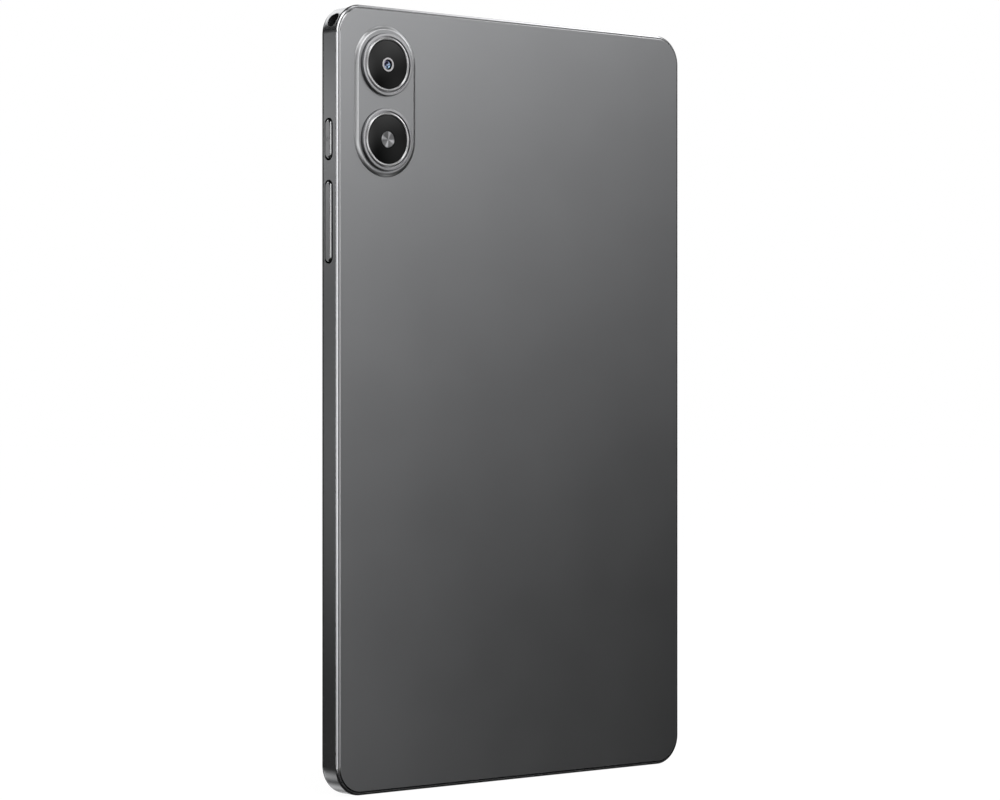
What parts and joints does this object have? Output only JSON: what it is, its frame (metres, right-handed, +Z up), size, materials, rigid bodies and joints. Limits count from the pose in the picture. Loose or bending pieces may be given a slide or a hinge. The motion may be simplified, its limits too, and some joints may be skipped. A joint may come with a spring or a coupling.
{
  "type": "tablet computer",
  "caption": "Slim upright tablet computer with a metal casing, a raised stadium camera island on its back, side keys, card tray, USB-C port and a corner headphone socket.",
  "frame": {"origin": "middle of the bottom edge, half way through the body's thickness", "axes": "+Z up the long side, +Y out of the back (the camera side), -Y out of the screen, +X towards the side with the keys"},
  "size_m": [0.1254, 0.0095, 0.211],
  "materials": {
    "casing": "fine satin, dark space grey",
    "bright_metal": "diamond-cut and polished",
    "black_glass": "glossy black, opaque",
    "clear_lens": "clear moulded lens",
    "black_plastic": "matte moulded",
    "steel": "stamped, satin",
    "circuit_board": "solder mask",
    "flex_film": "polyimide film",
    "battery_pouch": "laminated pouch",
    "display_module": "reflective backing",
    "tape": "foam tape",
    "graphite": "graphite sheet",
    "led_phosphor": "phosphor"
  },
  "bodies": {
    "body": {"antenna_cable": "black_plastic", "battery": "battery_pouch", "battery_lead": "flex_film", "board_screw_1": "steel", "board_screw_2": "steel", "board_screw_3": "steel", "board_screw_4": "steel", "board_screw_5": "steel", "board_screw_6": "steel", "camera_deck": "casing", "camera_inner_bezel": "bright_metal", "camera_window": "black_glass", "card_reader": "steel", "display_flex": "flex_film", "display_panel": "display_module", "display_tape": "tape", "eject_lever_pin": "steel", "flash_led": "led_phosphor", "flash_lens": "clear_lens", "flash_window": "black_glass", "front_camera": "black_plastic", "front_glass": "black_glass", "headphone_jack": "black_plastic", "heat_spreader": "graphite", "light_sensor": "black_plastic", "lower_lens_ring": "bright_metal", "main_flex": "flex_film", "mainboard": "circuit_board", "microphone_bottom": "steel", "microphone_top": "steel", "mid_frame": "casing", "power_switch": "black_plastic", "processor": "black_plastic", "radio_shield": "steel", "rear_camera_module": "black_plastic", "rear_cover": "casing", "side_antenna": "flex_film", "side_key_bracket": "steel", "side_key_flex": "flex_film", "soc_shield": "steel", "speaker_left": "black_plastic", "speaker_mesh_left": "steel", "speaker_mesh_right": "steel", "speaker_right": "black_plastic", "sub_board": "circuit_board", "upper_lens_ring": "bright_metal", "usb_c_shell": "steel", "usb_c_tongue": "black_plastic", "volume_down_switch": "black_plastic", "volume_up_switch": "black_plastic", "wifi_antenna": "flex_film"},
    "power_key": {"power_button": "casing", "power_plunger": "steel"},
    "volume_key": {"volume_rocker": "casing", "volume_up_plunger": "steel", "volume_down_plunger": "steel"},
    "tray": {"card_tray": "casing"},
    "ejector_lever": {"eject_lever": "steel"},
    "ejector_rod": {"eject_rod": "steel"},
    "focus_lens": {"camera_lens_barrel": "black_plastic"}
  },
  "joints": [
    {"name": "power_press", "type": "slide", "parent": "body", "child": "power_key", "axis": [-1, 0, 0], "range_m": [0, 0.00025], "stiffness_N_per_m": 2000},
    {"name": "volume_rock", "type": "hinge", "parent": "body", "child": "volume_key", "pos_m": [0.0625, 0.00018, 0.1529], "axis": [0, 1, 0], "range_deg": [-1.5, 1.5], "stiffness_Nm_per_rad": 0.2},
    {"name": "tray_slide", "type": "slide", "parent": "body", "child": "tray", "axis": [-1, 0, 0], "range_m": [0, 0.022]},
    {"name": "ejector_turn", "type": "hinge", "parent": "body", "child": "ejector_lever", "pos_m": [-0.0291, 0.0013, 0.18], "axis": [0, 1, 0], "range_deg": [0, 30]},
    {"name": "ejector_push", "type": "slide", "parent": "body", "child": "ejector_rod", "axis": [1, 0, 0], "range_m": [0, 0.0022]},
    {"name": "focus_travel", "type": "slide", "parent": "body", "child": "focus_lens", "axis": [0, 1, 0], "range_m": [0, 0.00025], "stiffness_N_per_m": 60}
  ],
  "couplings": [
    {"joint": "ejector_turn", "follows": "tray_slide", "rad_per_m": 23.7},
    {"joint": "ejector_push", "follows": "tray_slide", "ratio": 0.0995}
  ]
}
